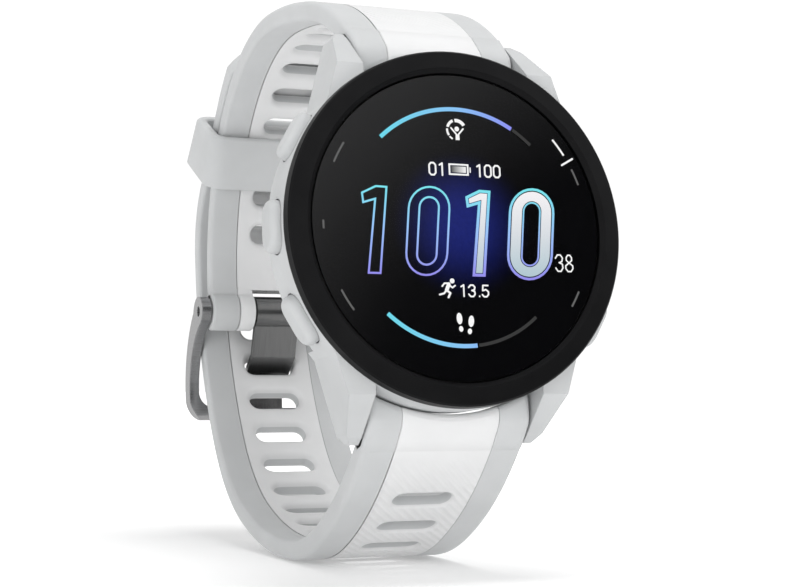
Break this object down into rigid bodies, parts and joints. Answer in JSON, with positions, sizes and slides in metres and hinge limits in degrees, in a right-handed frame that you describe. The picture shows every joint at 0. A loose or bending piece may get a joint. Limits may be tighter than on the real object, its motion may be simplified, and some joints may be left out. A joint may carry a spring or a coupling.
{
  "type": "gps running watch",
  "caption": "Round sports watch with a colour display, side buttons, a rear heart-rate window and a two-tone slotted silicone strap closed by a pin buckle and a keeper.",
  "frame": {"origin": "centre of the wrist opening, inside the closed strap", "axes": "+X along the wrist towards the dial's 3 o'clock side, -Y out of the dial, which leans 6 degrees back, +Z towards 12 o'clock"},
  "size_m": [0.0443, 0.0826, 0.0752],
  "materials": {
    "case": "satin",
    "bezel": "satin black",
    "glass": "polished",
    "display": "glossy",
    "gasket": "matte",
    "chassis": "matte",
    "board": "solder mask",
    "flex": "polyimide film",
    "chips": "moulded",
    "antenna": "plated",
    "battery": "foil",
    "motor": "can",
    "beeper": "disc",
    "back_cover": "fine matte",
    "sensor_window": "smoked, polished",
    "emitters": "clear epoxy",
    "screws": "satin",
    "socket": "matte",
    "contacts": "gold plated",
    "buttons": "satin",
    "clips": "spring steel",
    "switches": "tin-plated",
    "strap_grey": "soft silicone",
    "strap_white": "soft silicone",
    "keeper": "soft silicone",
    "bars": "turned",
    "springs": "spring steel",
    "buckle": "dark brushed",
    "tang": "dark brushed"
  },
  "bodies": {
    "watch": {"mid_case": "case", "bezel": "bezel", "glass_gasket": "gasket", "front_glass": "glass", "display_panel": "display", "inner_frame": "chassis", "main_board": "board", "display_ribbon": "flex", "board_components": "chips", "gps_antenna": "antenna", "battery": "battery", "vibration_motor": "motor", "beeper": "beeper", "back_cover": "back_cover", "back_gasket": "gasket", "back_screws": "screws", "sensor_board": "board", "sensor_emitters": "emitters", "sensor_window": "sensor_window", "charging_socket": "socket", "charging_contacts": "contacts", "button_seals": "gasket", "button_switches": "switches", "button_flex": "flex", "upper_strap": "strap_grey", "upper_strap_inlay": "strap_white", "lower_strap": "strap_grey", "lower_strap_inlay": "strap_white", "upper_bar_tube": "bars", "upper_bar_spring": "springs", "lower_bar_tube": "bars", "lower_bar_spring": "springs", "buckle_pin": "buckle"},
    "light_button": {"light_button": "buttons", "light_button_clip": "clips"},
    "up_button": {"up_button": "buttons", "up_button_clip": "clips"},
    "down_button": {"down_button": "buttons", "down_button_clip": "clips"},
    "start_button": {"start_button": "buttons", "start_button_clip": "clips"},
    "back_button": {"back_button": "buttons", "back_button_clip": "clips"},
    "upper_release_pin": {"upper_bar_pin": "bars"},
    "lower_release_pin": {"lower_bar_pin": "bars"},
    "buckle_frame": {"buckle_frame": "buckle"},
    "buckle_tang": {"buckle_tang": "tang"},
    "keeper": {"keeper": "keeper"}
  },
  "joints": [
    {"name": "light_press", "type": "slide", "parent": "watch", "child": "light_button", "axis": [0.866, -0.0535, -0.4971], "range_m": [0, 0.0005], "stiffness_N_per_m": 2000, "springref_m": -0.0002},
    {"name": "up_press", "type": "slide", "parent": "watch", "child": "up_button", "axis": [1, 0, 0], "range_m": [0, 0.0005], "stiffness_N_per_m": 2000, "springref_m": -0.0002},
    {"name": "down_press", "type": "slide", "parent": "watch", "child": "down_button", "axis": [0.866, 0.0535, 0.4971], "range_m": [0, 0.0005], "stiffness_N_per_m": 2000, "springref_m": -0.0002},
    {"name": "start_press", "type": "slide", "parent": "watch", "child": "start_button", "axis": [-0.866, -0.0535, -0.4971], "range_m": [0, 0.0005], "stiffness_N_per_m": 2000, "springref_m": -0.0002},
    {"name": "back_press", "type": "slide", "parent": "watch", "child": "back_button", "axis": [-0.866, 0.0535, 0.4971], "range_m": [0, 0.0005], "stiffness_N_per_m": 2000, "springref_m": -0.0002},
    {"name": "upper_release", "type": "slide", "parent": "watch", "child": "upper_release_pin", "axis": [-1, 0, 0], "range_m": [0, 0.0013], "stiffness_N_per_m": 1000, "springref_m": -0.0006},
    {"name": "lower_release", "type": "slide", "parent": "watch", "child": "lower_release_pin", "axis": [-1, 0, 0], "range_m": [0, 0.0013], "stiffness_N_per_m": 1000, "springref_m": -0.0006},
    {"name": "buckle_frame_hinge", "type": "hinge", "parent": "watch", "child": "buckle_frame", "pos_m": [0, 0.03001, -0.0031], "axis": [1, 0, 0], "range_deg": [-7, 0]},
    {"name": "buckle_tang_hinge", "type": "hinge", "parent": "watch", "child": "buckle_tang", "pos_m": [0, 0.03001, -0.0031], "axis": [1, 0, 0], "range_deg": [0, 1]},
    {"name": "keeper_slide", "type": "hinge", "parent": "watch", "child": "keeper", "pos_m": [0, -0.00106, 0.00514], "axis": [1, 0, 0], "range_deg": [-5, 5]}
  ]
}
